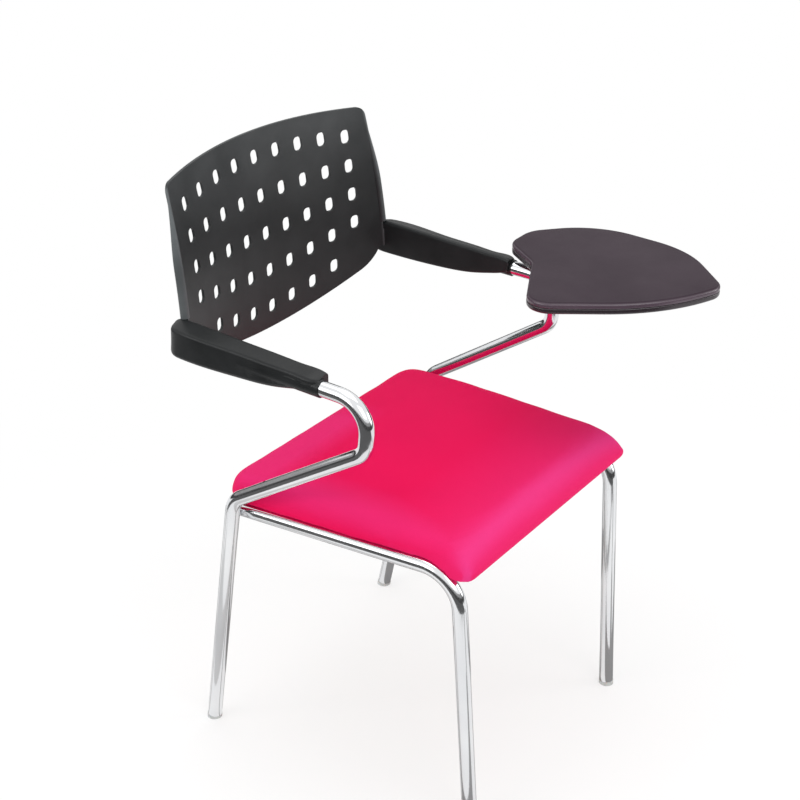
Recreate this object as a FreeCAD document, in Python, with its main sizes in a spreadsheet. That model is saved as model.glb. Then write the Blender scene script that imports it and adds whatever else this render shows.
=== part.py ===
import FreeCAD, Part
import math
import os
from types import SimpleNamespace

from FreeCAD import Placement, Rotation, Vector

# A tablet arm chair: a frame of bent chromed tubes, an upholstered seat, a slotted plastic back
# held between two arm sleeves, and a writing tablet that flips up on a spindle.
# The sitter faces -Y and has the left hand towards +X. Lengths are in millimetres.

SIZES = {
    # Frame tubes
    "tube_diameter": 22.0,
    "tube_wall": 1.5,
    "weld_gap": 0.05,
    "front_foot_half_span": 206.0,
    "rear_foot_half_span": 232.0,
    "foot_depth": 464.0,
    "front_corner_half_span": 213.5,
    "front_corner_set_back": 27.0,
    "front_bend_radius": 57.0,
    "rail_front_height": 420.0,
    "rail_rear_height": 405.0,
    "rail_overrun": 8.0,
    "rail_cope": 1.0,
    # Side loops that rise from the rear legs into the arms
    "loop_half_span": 252.0,
    "rear_corner_set_forward": 78.0,
    "rear_corner_height": 432.0,
    "rear_bend_radius": 40.0,
    "loop_low_front": 80.0,
    "loop_rise": 74.0,
    "loop_low_radius": 30.0,
    "loop_high_front": 86.0,
    "loop_high_height": 656.0,
    "loop_high_radius": 45.0,
    "tablet_loop_set_back": 12.0,
    "arm_tube_reach": 200.0,
    "arm_tube_rise": 8.0,
    # Cross tubes under the seat
    "cross_tube_diameter": 19.0,
    "cross_tube_wall": 1.5,
    "front_cross_place": -120.0,
    "rear_cross_place": 130.0,
    # Plastic plugs in the tube ends
    "glide_diameter": 23.0,
    "glide_height": 6.0,
    "plug_flange": 3.0,
    "plug_length": 20.0,
    "plug_clearance": 0.1,
    # Seat
    "seat_front": 229.0,
    "seat_rear": 191.0,
    "seat_side_overhang": 7.0,
    "seat_gap": 0.2,
    "cushion_edge": 31.0,
    "cushion_rear_rise": 5.0,
    "cushion_side_fall": 1.5,
    "cushion_crown": 8.0,
    "cushion_edge_roll": 18.0,
    "cushion_under_round": 5.0,
    "cushion_front_corner": 11.0,
    "cushion_rear_corner": 40.0,
    "cushion_front_roll": 46.0,
    "cushion_rear_roll": 22.0,
    "cushion_lip_drop": 17.0,
    "cushion_lip_round": 9.0,
    "pan_thickness": 10.0,
    "pan_side_margin": 8.0,
    "pan_end_margin": 4.0,
    "pan_corner": 30.0,
    "pan_clearance": 0.3,
    "cushion_tube_clearance": 0.4,
    "seat_screw_half_span": 150.0,
    # Back
    "back_plan_radius": 658.0,
    "back_thickness": 4.0,
    "back_bottom_place": 278.0,
    "back_bottom_drop": 75.0,
    "back_middle_place": 286.0,
    "back_middle_rise": 73.0,
    "back_top_place": 313.0,
    "back_top_rise": 228.0,
    "back_top_inside_arm": 8.0,
    "back_top_arch": 10.0,
    "back_side_past_arm": 0.5,
    "back_bottom_arch": 56.0,
    "back_top_corner": 14.0,
    "back_bottom_corner": 70.0,
    "back_rim_diameter": 13.0,
    "back_rim_proud": 9.0,
    "back_rim_set_back": 4.0,
    "back_rim_foot_drop": 1.05,
    "back_rim_taper": 115.0,
    "back_rim_tip_diameter": 3.2,
    "back_rim_tip_cover": 0.3,
    # Slots through the back
    "slot_width": 17.0,
    "slot_height": 21.0,
    "slot_corner": 7.0,
    "slot_rows": 5.0,
    "slot_side_columns": 4.0,
    "slot_top_pitch": 46.0,
    "slot_bottom_pitch": 47.2,
    "slot_top_margin": 37.0,
    "slot_bottom_margin": 34.0,
    "slot_top_row_arch": 12.0,
    "slot_row_arch_step": 12.5,
    # Lugs that tie the back to the arms
    "lug_length": 10.0,
    "lug_depth": 16.0,
    "lug_top_margin": 6.0,
    "lug_bottom_margin": 14.0,
    "lug_gap": 0.1,
    "back_screw_pitch": 23.0,
    "back_screw_inset": 12.2,
    # Arm sleeves
    "arm_front": 8.0,
    "arm_rear_overlap": 17.0,
    "arm_inner_half_width": 16.0,
    "arm_outer_front": 12.0,
    "arm_outer_rear": 16.0,
    "arm_front_top_rise": 21.0,
    "arm_rear_top_rise": 26.0,
    "arm_ridge_drop": 8.0,
    "arm_bottom_drop": 22.0,
    "arm_bottom_tuck": 3.0,
    "arm_bottom_slant": 3.0,
    "arm_front_lift": 21.0,
    "arm_lift_start": 130.0,
    "arm_top_round": 6.0,
    "arm_bottom_round": 8.0,
    "arm_inner_round": 4.0,
    "arm_end_length": 20.0,
    "arm_end_taper": 12.0,
    "arm_nose_length": 6.0,
    "arm_nose_taper": 4.0,
    "arm_collar_wall": 2.0,
    "arm_collar_proud": 2.0,
    "arm_bore_clearance": 0.1,
    "arm_screw_place": 95.0,
    "arm_screw_recess": 5.0,
    # Tablet hinge
    "spindle_drop": 10.0,
    "spindle_diameter": 16.0,
    "spindle_clearance": 0.05,
    "sleeve_diameter": 26.0,
    "sleeve_length": 100.0,
    "sleeve_set_off": 12.0,
    "neck_width": 14.0,
    "neck_height": 21.5,
    "plate_thickness": 3.0,
    "plate_width": 130.0,
    "plate_corner": 14.0,
    "plate_screw_margin": 16.0,
    "stop_pin_diameter": 5.0,
    "stop_pin_proud": 1.5,
    "stop_pin_place": 6.0,
    "stop_clearance": 0.3,
    "end_play": 0.3,
    "washer_thickness": 2.0,
    "washer_diameter": 28.0,
    # Tablet
    "tablet_lower_thickness": 9.0,
    "tablet_upper_thickness": 9.0,
    "tablet_seam_round": 1.8,
    "tablet_top_round": 5.0,
    "tablet_bottom_round": 4.0,
    # Fasteners
    "hole_clearance": 0.2,
    "seat_screw_diameter": 6.0,
    "tee_nut_flange": 1.6,
    "tee_nut_flange_diameter": 17.0,
    "tee_nut_barrel_diameter": 8.0,
    "small_screw_diameter": 3.5,
    "spindle_screw_diameter": 8.0,
    "spindle_screw_length": 22.0,
    "back_screw_length": 24.0,
    "tablet_screw_bite": 11.0,
    "screw_end_room": 1.0,
}

# Corners of the tablet, seen from above: outward from the spindle, back from the loop, rounding
TABLET_CORNERS = {
    "tip_inner": (-2.0, 84.0, 35.0),
    "tip_outer": (58.0, 85.0, 52.0),
    "outer_rear": (143.0, 10.0, 130.0),
    "outer_front": (128.0, -157.0, 160.0),
    "nose": (27.0, -259.0, 32.0),
    "inner_front": (-80.0, -221.0, 270.0),
    "inner_rear": (-193.0, -57.0, 34.0),
    "notch": (-52.0, 15.0, 40.0),
}
for corner_name, corner_sizes in TABLET_CORNERS.items():
    for measure, value in zip(("out", "back", "round"), corner_sizes):
        SIZES[f"tablet_{corner_name}_{measure}"] = value

doc = FreeCAD.newDocument("TabletArmChair")
sheet = doc.addObject("Spreadsheet::Sheet", "Sizes")
for row, (alias, value) in enumerate(SIZES.items(), start=1):
    sheet.set(f"A{row}", alias)
    sheet.set(f"B{row}", str(value))
    sheet.setAlias(f"B{row}", alias)
doc.recompute()
d = SimpleNamespace(**{alias: float(sheet.get(alias)) for alias in SIZES})

UP = Vector(0, 0, 1)
LEFT = Vector(1, 0, 0)
BACK = Vector(0, 1, 0)
FAR = 1000.0
CLOSE = 0.01
nodes = {}


# Helpers for document objects

def add(kind, name, **formulas):
    """A document object whose properties are bound to the sheet."""
    made = doc.addObject(kind, name)
    for prop, formula in formulas.items():
        made.setExpression(prop, formula)
    return made


def node(label, made):
    """Name a finished sub-part."""
    made.Label = label
    nodes[label] = made
    return made


def shape_object(name, shape, placement=Placement()):
    """A document object that holds a shape made by the functions below."""
    made = doc.addObject("Part::Feature", name)
    made.Shape = shape
    made.Placement = placement
    return made


def cylinder(name, start, direction, **formulas):
    """A cylinder from a start point along a direction, with Radius and Height formulas."""
    made = add("Part::Cylinder", name, **formulas)
    made.Placement = Placement(start, Rotation(UP, direction))
    return made


def fuse(name, pieces):
    made = doc.addObject("Part::MultiFuse", name)
    made.Shapes = pieces
    return made


def cut(name, base, tools):
    """Take one tool, or several joined ones, away from a base."""
    made = doc.addObject("Part::Cut", name)
    made.Base = base
    made.Tool = tools[0] if len(tools) == 1 else fuse(f"{name}_tools", tools)
    return made


def common(name, first, second):
    made = doc.addObject("Part::Common", name)
    made.Base = first
    made.Tool = second
    return made


def mirrored(name, source):
    """The same piece on the other side of the chair."""
    made = doc.addObject("Part::Mirroring", name)
    made.Source = source
    made.Normal = LEFT
    return made


def both_sides(name, source):
    """Name a piece of the left side and its mirror image."""
    node(f"{name}_left", source)
    node(f"{name}_right", mirrored(f"{name}_right", source))


def extruded(name, wire, direction, length):
    made = doc.addObject("Part::Extrusion", name)
    made.Base = shape_object(f"{name}_outline", wire)
    made.DirMode = "Custom"
    made.Dir = direction
    made.LengthFwd = length
    made.Solid = True
    return made


def rounded_wire(points, radii, closed=False):
    """Straight runs between the points, with an arc of the given radius at each of them."""
    corners = []
    for index, point in enumerate(points):
        if radii[index] == 0:
            corners.append((point, None, point))
            continue
        to_last = (points[index - 1] - point).normalize()
        to_next = (points[(index + 1) % len(points)] - point).normalize()
        half_angle = to_last.getAngle(to_next) / 2
        reach = radii[index] / math.tan(half_angle)
        inward = (to_last + to_next).normalize()
        middle = point + inward * (radii[index] / math.sin(half_angle) - radii[index])
        corners.append((point + to_last * reach, middle, point + to_next * reach))
    edges = []
    for (start, middle, end), following in zip(corners, corners[1:] + corners[:1]):
        if middle is not None:
            edges.append(Part.Arc(start, middle, end).toShape())
        edges.append(Part.LineSegment(end, following[0]).toShape())
    if not closed:
        edges.pop()
    return Part.Wire(edges)


def swept(name, path, radius_formula):
    """A round bar along a path object."""
    first = path.Shape.Edges[0]
    section = add("Part::Circle", f"{name}_section", Radius=radius_formula)
    tangent = first.tangentAt(first.FirstParameter)
    section.Placement = Placement(first.valueAt(first.FirstParameter), Rotation(UP, tangent))
    bar = doc.addObject("Part::Sweep", name)
    bar.Sections = [section]
    bar.Spine = (path, [f"Edge{number + 1}" for number in range(len(path.Shape.Edges))])
    bar.Solid = True
    return bar


def bent_tube(name, path):
    """A tube along a path."""
    outside = swept(f"{name}_outside", path, "Sizes.tube_diameter / 2")
    bore = swept(f"{name}_bore", path, "Sizes.tube_diameter / 2 - Sizes.tube_wall")
    return cut(f"{name}_tube", outside, [bore])


def coping_bar(name, path):
    """The solid bar that other tubes are coped with, a weld gap larger than the tube."""
    return swept(name, path, "Sizes.tube_diameter / 2 + Sizes.weld_gap")


def plane_of(body, role):
    return [feature for feature in body.Origin.OriginFeatures if feature.Role == role][0]


def sketch_on(body, name, role, geometry, height=0.0):
    """A sketch on one of the body's own planes, lifted by a height."""
    sketch = body.newObject("Sketcher::SketchObject", name)
    sketch.AttachmentSupport = [(plane_of(body, role), "")]
    sketch.MapMode = "FlatFace"
    sketch.AttachmentOffset = Placement(UP * height, Rotation())
    sketch.addGeometry(geometry, False)
    return sketch


def ring(points):
    """Closed straight lines through points."""
    return [Part.LineSegment(a, b) for a, b in zip(points, points[1:] + points[:1])]


def turned(name, profile):
    """A body of revolution about its own Z axis, from a profile of radius and height."""
    body = doc.addObject("PartDesign::Body", name)
    outline = ring([Vector(radius, height, 0) for radius, height in profile])
    sketch = sketch_on(body, f"{name}_profile", "XZ_Plane", outline)
    turn = body.newObject("PartDesign::Revolution", f"{name}_turn")
    turn.Profile = sketch
    turn.ReferenceAxis = (sketch, ["V_Axis"])
    turn.Angle = 360
    return body


def socket_screw(name, diameter, length):
    """A button head screw: its head stands above the XY plane, its shank goes down from it."""
    shank = diameter / 2
    head = diameter
    head_height = diameter * 0.6
    tip = diameter * 0.12
    body = turned(name, [
        (0, head_height),
        (head * 0.55, head_height),
        (head, head_height * 0.35),
        (head, 0),
        (shank, 0),
        (shank, tip - length),
        (shank - tip, -length),
        (0, -length),
    ])
    key = diameter * 0.36
    corners = [Vector(key * math.cos(math.radians(60 * n)), key * math.sin(math.radians(60 * n)), 0)
               for n in range(6)]
    sketch = sketch_on(body, f"{name}_key", "XY_Plane", ring(corners), head_height)
    socket = body.newObject("PartDesign::Pocket", f"{name}_socket")
    socket.Profile = sketch
    socket.Length = head_height * 0.6
    return body


def copies(label, source, placements):
    """Identical fasteners in one node, as separate solids."""
    doc.recompute()
    solids = [source.Shape.copy() for _ in placements]
    for solid, placement in zip(solids, placements):
        solid.Placement = placement.multiply(solid.Placement)
    return node(label, shape_object(f"{label}_group", Part.makeCompound(solids)))


def facing(position, direction):
    return Placement(position, Rotation(UP, direction))


def across(left, position):
    """A point mirrored to the right side where left is false."""
    return position if left else Vector(-position.x, position.y, position.z)


# Places that several pieces share

tube_radius = d.tube_diameter / 2
front_foot = Vector(d.front_foot_half_span, -d.foot_depth / 2, 0)
rear_foot = Vector(d.rear_foot_half_span, d.foot_depth / 2, 0)
front_corner = Vector(d.front_corner_half_span, front_foot.y + d.front_corner_set_back, d.rail_front_height)
rear_corner = Vector(d.loop_half_span, rear_foot.y - d.rear_corner_set_forward, d.rear_corner_height)
front_leg_direction = (front_corner - front_foot).normalize()
rear_leg_direction = (rear_corner - rear_foot).normalize()
rail_joint = rear_foot + rear_leg_direction * (d.rail_rear_height / rear_leg_direction.z)
rail_end = rail_joint + Vector(d.rail_cope - d.tube_diameter, d.rail_overrun, 0)
rail_run = rail_end - front_corner
arm_tube_length = d.arm_tube_reach + d.loop_high_front
loop_low = Vector(d.loop_half_span, -d.loop_low_front, d.loop_high_height - d.loop_rise)
loop_high = Vector(d.loop_half_span, -d.loop_high_front, d.loop_high_height)
arm_tube_end = loop_high + Vector(0, arm_tube_length, d.arm_tube_rise)
back_bottom_height = d.loop_high_height - d.back_bottom_drop
back_middle_height = d.loop_high_height + d.back_middle_rise
back_top_height = d.loop_high_height + d.back_top_rise


def rail_at(place):
    """The rail's centre at a distance behind the middle of the chair."""
    return front_corner + rail_run * ((place - front_corner.y) / rail_run.y)


def arm_axis_height(place):
    """The height of the tube inside the arm."""
    return loop_high.z + d.arm_tube_rise * (place - loop_high.y) / arm_tube_length


# The seat lies along the rails: its own frame has the rails' centres at height 0
seat_tilt = math.degrees(math.atan2(rail_run.z, rail_run.y))
seat_frame = Placement(Vector(0, 0, rail_at(0).z), Rotation(LEFT, seat_tilt))


# Frame tubes


def loop_path(name, set_back):
    """From the rear foot up, forward and back again into the arm, with the loop's front set back."""
    shift = Vector(0, set_back, 0)
    lift = UP * (d.arm_tube_rise * set_back / arm_tube_length)
    points = [
        rear_foot + rear_leg_direction * d.glide_height,
        rear_corner,
        loop_low + shift,
        loop_high + shift + lift,
        arm_tube_end,
    ]
    radii = [0, d.rear_bend_radius, d.loop_low_radius, d.loop_high_radius, 0]
    return shape_object(name, rounded_wire(points, radii))


tablet_side_path = loop_path("tablet_side_path", d.tablet_loop_set_back)
open_side_path = loop_path("open_side_path", 0)
rear_tube = bent_tube("tablet_side", tablet_side_path)
open_tube = bent_tube("open_side", open_side_path)
rear_coping = coping_bar("rear_coping", tablet_side_path)
front_path = shape_object("front_path", rounded_wire(
    [front_foot + front_leg_direction * d.glide_height, front_corner, rail_end],
    [0, d.front_bend_radius, 0],
))
front_tube = bent_tube("front", front_path)
front_coping = coping_bar("front_coping", front_path)

arm_screw_axis = Vector(d.loop_half_span, d.arm_screw_place, 0)
arm_screw_hole = cylinder(
    "arm_screw_hole", arm_screw_axis, UP,
    Radius="Sizes.small_screw_diameter / 2 + Sizes.hole_clearance",
    Height="Sizes.loop_high_height",
)
node("rear_leg_arm_tube_left", cut("rear_leg_arm_tube_left", rear_tube, [arm_screw_hole]))
open_loop = cut("open_loop", open_tube, [arm_screw_hole])
node("rear_leg_arm_tube_right", mirrored("rear_leg_arm_tube_right", open_loop))
both_sides("front_leg_rail_tube", cut("front_leg_rail_tube_left", front_tube, [rear_coping]))


# Cross tubes between the rails

front_coping_right = mirrored("front_coping_right", front_coping)
cross_centre_height = (d.tube_diameter - d.cross_tube_diameter) / 2


def cross_tube(label, place):
    """A tube from rail to rail, coped to both, with two holes for the seat screws."""
    half_length = rail_at(place).x
    start = seat_frame.multVec(Vector(-half_length, place, cross_centre_height))
    outside = cylinder(f"{label}_outside", start, LEFT, Radius="Sizes.cross_tube_diameter / 2")
    bore = cylinder(f"{label}_bore", start, LEFT,
                    Radius="Sizes.cross_tube_diameter / 2 - Sizes.cross_tube_wall")
    outside.Height = 2 * half_length
    bore.Height = 2 * half_length
    tools = [bore, front_coping, front_coping_right]
    for side in (-1, 1):
        below = seat_frame.multVec(Vector(side * d.seat_screw_half_span, place, -d.cross_tube_diameter))
        hole = cylinder(
            f"{label}_hole", below, seat_frame.Rotation.multVec(UP),
            Radius="Sizes.seat_screw_diameter / 2 + Sizes.hole_clearance",
            Height="2 * Sizes.cross_tube_diameter",
        )
        tools.append(hole)
    node(label, cut(label, outside, tools))


cross_tube("front_cross_tube", d.front_cross_place)
cross_tube("rear_cross_tube", d.rear_cross_place)


# Glides under the legs and plugs in the rails' ends

plug_radius = "Sizes.tube_diameter / 2 - Sizes.tube_wall - Sizes.plug_clearance"
floor_block = add("Part::Box", "floor_block")
floor_block.Length = FAR
floor_block.Width = FAR
floor_block.Height = FAR
floor_block.Placement.Base = Vector(-FAR / 2, -FAR / 2, -FAR)


def foot_glide(name, foot, direction):
    """A plug in the leg with a foot that is cut level with the floor."""
    sole = cylinder(f"{name}_sole", foot - direction * d.glide_height, direction,
                    Radius="Sizes.glide_diameter / 2", Height="2 * Sizes.glide_height")
    plug = cylinder(f"{name}_plug", foot, direction,
                    Radius=plug_radius, Height="Sizes.glide_height + Sizes.plug_length")
    both_sides(name, cut(f"{name}_left", fuse(f"{name}_body", [sole, plug]), [floor_block]))


foot_glide("foot_glide_front", front_foot, front_leg_direction)
foot_glide("foot_glide_rear", rear_foot, rear_leg_direction)

rail_direction = Vector(rail_run).normalize()
end_cap = cylinder("rail_end_cap", rail_end, rail_direction,
                   Radius="Sizes.tube_diameter / 2", Height="Sizes.plug_flange")
end_plug = cylinder("rail_end_stem", rail_end - rail_direction * d.plug_length, rail_direction,
                    Radius=plug_radius, Height="Sizes.plug_length + Sizes.plug_flange")
end_body = fuse("rail_end_body", [end_cap, end_plug])
both_sides("rail_end_plug", cut("rail_end_plug_left", end_body, [rear_coping]))


# Seat pan, with a counterbored hole for each tee nut

seat_base = tube_radius + d.seat_gap
# The cushion's underside follows the front bends of the tubes, a clearance above them
leg_angle = (front_foot - front_corner).getAngle(rail_run)
bend_end = rail_at(front_corner.y + d.front_bend_radius / math.tan(leg_angle / 2))
bend_place = seat_frame.inverse().multVec(bend_end).y
underside_radius = d.front_bend_radius + tube_radius + d.cushion_tube_clearance


def underside_place(height):
    """Where the underside's arc over the front bend reaches a height, in the seat's frame."""
    rise = height + d.front_bend_radius
    return bend_place - math.sqrt(underside_radius ** 2 - rise ** 2)


pan_front = underside_place(seat_base) + d.pan_end_margin
pan_rear = d.seat_rear - d.cushion_rear_roll
screw_places = [Vector(side * d.seat_screw_half_span, place, 0)
                for place in (d.front_cross_place, d.rear_cross_place) for side in (-1, 1)]


def pan_outline(growth):
    """The pan's outline: it follows the rails, rounded at its corners."""
    front_half = rail_at(pan_front).x - d.pan_side_margin + growth
    rear_half = rail_at(pan_rear).x - d.pan_side_margin + growth
    points = [
        Vector(-front_half, pan_front - growth, 0),
        Vector(front_half, pan_front - growth, 0),
        Vector(rear_half, pan_rear + growth, 0),
        Vector(-rear_half, pan_rear + growth, 0),
    ]
    return rounded_wire(points, [d.pan_corner + growth] * 4, closed=True)


def sketch_curves(wire):
    """The lines and arcs of a flat wire, as sketch geometry."""
    curves = []
    for edge in wire.OrderedEdges:
        first, last = edge.ParameterRange
        ends = (edge.valueAt(first), edge.valueAt((first + last) / 2), edge.valueAt(last))
        straight = edge.Curve.TypeId == "Part::GeomLine"
        curves.append(Part.LineSegment(ends[0], ends[2]) if straight else Part.Arc(*ends))
    return curves


def pad_body(name, wire, thickness):
    """A body padded up from an outline on its XY plane, by a thickness from the sheet."""
    body = doc.addObject("PartDesign::Body", name)
    pad = body.newObject("PartDesign::Pad", f"{name}_pad")
    pad.Profile = sketch_on(body, f"{name}_outline", "XY_Plane", sketch_curves(wire))
    pad.setExpression("Length", f"Sizes.{thickness}")
    doc.recompute()
    return body


def drill(body, name, centres, radius, height=None, depth=None):
    """Round holes down from a height, to a depth, or right through where none is given."""
    circles = [Part.Circle(centre, UP, radius) for centre in centres]
    hole = body.newObject("PartDesign::Pocket", name)
    hole.Profile = sketch_on(body, f"{name}_circles", "XY_Plane", circles, height or 0.0)
    if depth is None:
        hole.Type = "ThroughAll"
        hole.Midplane = True
    else:
        hole.Length = depth
    doc.recompute()
    return hole


pan = pad_body("seat_pan", pan_outline(0), "pan_thickness")
drill(pan, "tee_nut_holes", screw_places, d.tee_nut_barrel_diameter / 2 + d.hole_clearance)
drill(pan, "tee_nut_seats", screw_places, d.tee_nut_flange_diameter / 2 + d.hole_clearance,
      d.pan_thickness, d.tee_nut_flange + d.hole_clearance)
pan.Placement = seat_frame.multiply(Placement(Vector(0, 0, seat_base), Rotation()))
node("seat_pan", pan)

tee_nut = turned("tee_nut", [
    (d.seat_screw_diameter / 2 + d.hole_clearance, 0),
    (d.tee_nut_flange_diameter / 2, 0),
    (d.tee_nut_flange_diameter / 2, -d.tee_nut_flange),
    (d.tee_nut_barrel_diameter / 2, -d.tee_nut_flange),
    (d.tee_nut_barrel_diameter / 2, -d.pan_thickness),
    (d.seat_screw_diameter / 2 + d.hole_clearance, -d.pan_thickness),
])
pan_top = Vector(0, 0, seat_base + d.pan_thickness)
copies("seat_tee_nuts", tee_nut,
       [seat_frame.multiply(Placement(place + pan_top, Rotation())) for place in screw_places])
seat_screw_seat = Vector(0, 0, cross_centre_height - d.cross_tube_diameter / 2)
seat_screw = socket_screw("seat_screw", d.seat_screw_diameter, pan_top.z - seat_screw_seat.z)
copies("seat_screws", seat_screw,
       [seat_frame.multiply(facing(place + seat_screw_seat, -UP)) for place in screw_places])


# Seat cushion: side profiles lofted across the chair, rounded off towards both sides

seat_middle_half = rail_at(0).x + d.seat_side_overhang


def rounded_off(share, radius):
    """How far a rounded edge of this radius falls back, at a share of the half width."""
    start = 1 - radius / seat_middle_half
    if share <= start:
        return 0.0
    along = (share - start) / (1 - start)
    return radius * (1 - math.sqrt(1 - along * along))


# How full the rolls of the cushion's front and rear are: the handles of their curves, as shares
FRONT_FULLNESS = 0.66
REAR_FULLNESS = 0.7
# How much deeper the front roll gets, and how much of the crown is lost, at the sides
ROLL_GROWTH = 1.3
CROWN_LOSS = 0.7


def smooth_curve(*poles):
    """An edge that leaves its first pole towards the second and reaches its last from the third."""
    curve = Part.BezierCurve()
    curve.setPoles(list(poles))
    return curve.toShape()


def cushion_profile(share):
    """The closed side profile at a share of the half width, from -1 to 1."""
    side = abs(share)
    front = -d.seat_front + rounded_off(side, d.cushion_front_corner)
    rear = d.seat_rear - rounded_off(side, d.cushion_rear_corner)
    front_roll = d.cushion_front_roll * (1 + ROLL_GROWTH * side ** 4)
    side_loss = rounded_off(side, d.cushion_edge_roll) + d.cushion_side_fall * side ** 2
    edge_top = seat_base + d.cushion_edge - side_loss
    rear_edge_top = edge_top + d.cushion_rear_rise
    crown_top = (edge_top + rear_edge_top) / 2 + d.cushion_crown * (1 - CROWN_LOSS * side ** 2)
    lip = seat_base - d.cushion_lip_drop
    lip_round = d.cushion_lip_round
    lip_top = lip + lip_round
    rear_foot_height = seat_base + d.cushion_lip_round
    slope = math.sqrt(0.5)

    def at(place, height):
        return Vector(share * (rail_at(place).x + d.seat_side_overhang), place, height)

    heel_height = (seat_base + lip) / 2
    bottom = seat_base + rounded_off(side, d.cushion_under_round)
    rear_bottom = at(rear - d.cushion_lip_round / 3, bottom)
    lip_inside = at(underside_place(seat_base), bottom)
    lip_hollow = at(underside_place(heel_height), heel_height)
    lip_heel = at(underside_place(lip), lip)
    lip_toe = at(front + lip_round, lip)
    lip_front = at(front, lip_top)
    roll_top = at(front + front_roll, edge_top)
    crown = at((front + rear) / 2, crown_top)
    rear_top = at(rear - d.cushion_rear_roll, rear_edge_top)
    rear_side = at(rear, rear_foot_height)
    lip_bend = at(front + lip_round * (1 - slope), lip_top - lip_round * slope)
    top = Part.Arc(roll_top, crown, rear_top).toShape()
    front_heading = top.tangentAt(top.FirstParameter)
    rear_heading = top.tangentAt(top.LastParameter)
    front_handle = UP * FRONT_FULLNESS * (edge_top - lip_top)
    rear_handle = UP * REAR_FULLNESS * (rear_edge_top - rear_foot_height)
    return Part.Wire([
        Part.LineSegment(rear_bottom, lip_inside).toShape(),
        Part.Arc(lip_inside, lip_hollow, lip_heel).toShape(),
        Part.LineSegment(lip_heel, lip_toe).toShape(),
        Part.Arc(lip_toe, lip_bend, lip_front).toShape(),
        smooth_curve(lip_front, lip_front + front_handle,
                     roll_top - front_heading * FRONT_FULLNESS * front_roll, roll_top),
        top,
        smooth_curve(rear_top, rear_top + rear_heading * REAR_FULLNESS * d.cushion_rear_roll,
                     rear_side + rear_handle, rear_side),
        Part.LineSegment(rear_side, rear_bottom).toShape(),
    ])


def lofted(name, wires, ruled=False):
    made = doc.addObject("Part::Loft", name)
    made.Sections = [shape_object(f"{name}_section", wire) for wire in wires]
    made.Solid = True
    made.Ruled = ruled
    return made


half_shares = [1.0, 0.993, 0.98, 0.955, 0.92, 0.87, 0.8, 0.7, 0.55, 0.37, 0.18]
cushion_shares = [-share for share in half_shares] + [0.0] + half_shares[::-1]
cushion_body = lofted("cushion_body", [cushion_profile(share) for share in cushion_shares])
recess = extruded("cushion_recess", pan_outline(d.pan_clearance), UP, 1)
recess.setExpression("LengthFwd", "Sizes.pan_thickness + 2 * Sizes.pan_clearance")
recess.Placement = Placement(Vector(0, 0, seat_base - d.pan_clearance), Rotation())
cushion = cut("seat_cushion", cushion_body, [recess])
cushion.Placement = seat_frame
node("seat_cushion", cushion)


# Back: a saddle-shaped panel turned about a standing axis in front of the chair

back_arc = Part.Arc(
    Vector(0, d.back_bottom_place, back_bottom_height),
    Vector(0, d.back_middle_place, back_middle_height),
    Vector(0, d.back_top_place, back_top_height),
)
back_circle = back_arc.toShape().Curve
arc_centre = back_circle.Center
arc_radius = back_circle.Radius
back_axis = d.back_middle_place - d.back_plan_radius


def back_front(half_width, height):
    """How far back the panel's front face lies, at a half width and a height."""
    plan_radius = arc_centre.y - math.sqrt(arc_radius ** 2 - (height - arc_centre.z) ** 2) - back_axis
    return back_axis + math.sqrt(plan_radius ** 2 - half_width ** 2)


def back_band(name, depth):
    """The panel's front face, thickened backwards to a depth and turned to both sides."""
    margin = d.back_top_corner
    heights = (back_bottom_height - margin, back_middle_height, back_top_height + margin)

    def on_arc(radius, height):
        return Vector(0, arc_centre.y - math.sqrt(radius ** 2 - (height - arc_centre.z) ** 2), height)

    front = [on_arc(arc_radius, height) for height in heights]
    rear = [on_arc(arc_radius - depth, height) for height in heights]
    wire = Part.Wire([
        Part.Arc(*front).toShape(),
        Part.LineSegment(front[2], rear[2]).toShape(),
        Part.Arc(*reversed(rear)).toShape(),
        Part.LineSegment(rear[0], front[0]).toShape(),
    ])
    band = doc.addObject("Part::Revolution", name)
    band.Source = shape_object(f"{name}_profile", Part.Face(wire))
    band.Axis = UP
    band.Base = Vector(0, back_axis, 0)
    widest = arm_inner_face + d.back_top_corner
    band.Angle = 2 * math.degrees(math.asin(widest / (d.back_plan_radius - d.lug_depth)))
    band.Symmetric = True
    band.Solid = True
    return band


arm_inner_face = d.loop_half_span - d.arm_inner_half_width
side_top = Vector(arm_inner_face - d.back_top_inside_arm, 0, back_top_height - d.back_top_arch)
side_bottom = Vector(arm_inner_face + d.back_side_past_arm, 0, back_bottom_height + d.back_bottom_arch)
back_outline = Part.Wire([
    Part.Arc(across(False, side_top), Vector(0, 0, back_top_height), side_top).toShape(),
    Part.LineSegment(side_top, side_bottom).toShape(),
    Part.Arc(side_bottom, Vector(0, 0, back_bottom_height), across(False, side_bottom)).toShape(),
    Part.LineSegment(across(False, side_bottom), across(False, side_top)).toShape(),
])
sharp_block = extruded("back_sharp_block", back_outline, BACK, FAR)
doc.recompute()
back_block = doc.addObject("Part::Fillet", "back_block")
back_block.Base = sharp_block
corner_edges = []
for number, edge in enumerate(sharp_block.Shape.Edges, start=1):
    if abs(edge.tangentAt(edge.FirstParameter).dot(BACK)) > 0.99:
        upper = edge.CenterOfMass.z > back_middle_height
        radius = d.back_top_corner if upper else d.back_bottom_corner
        corner_edges.append((number, radius, radius))
back_block.Edges = corner_edges
skin = common("back_skin", back_band("skin_band", d.back_thickness), back_block)

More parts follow.
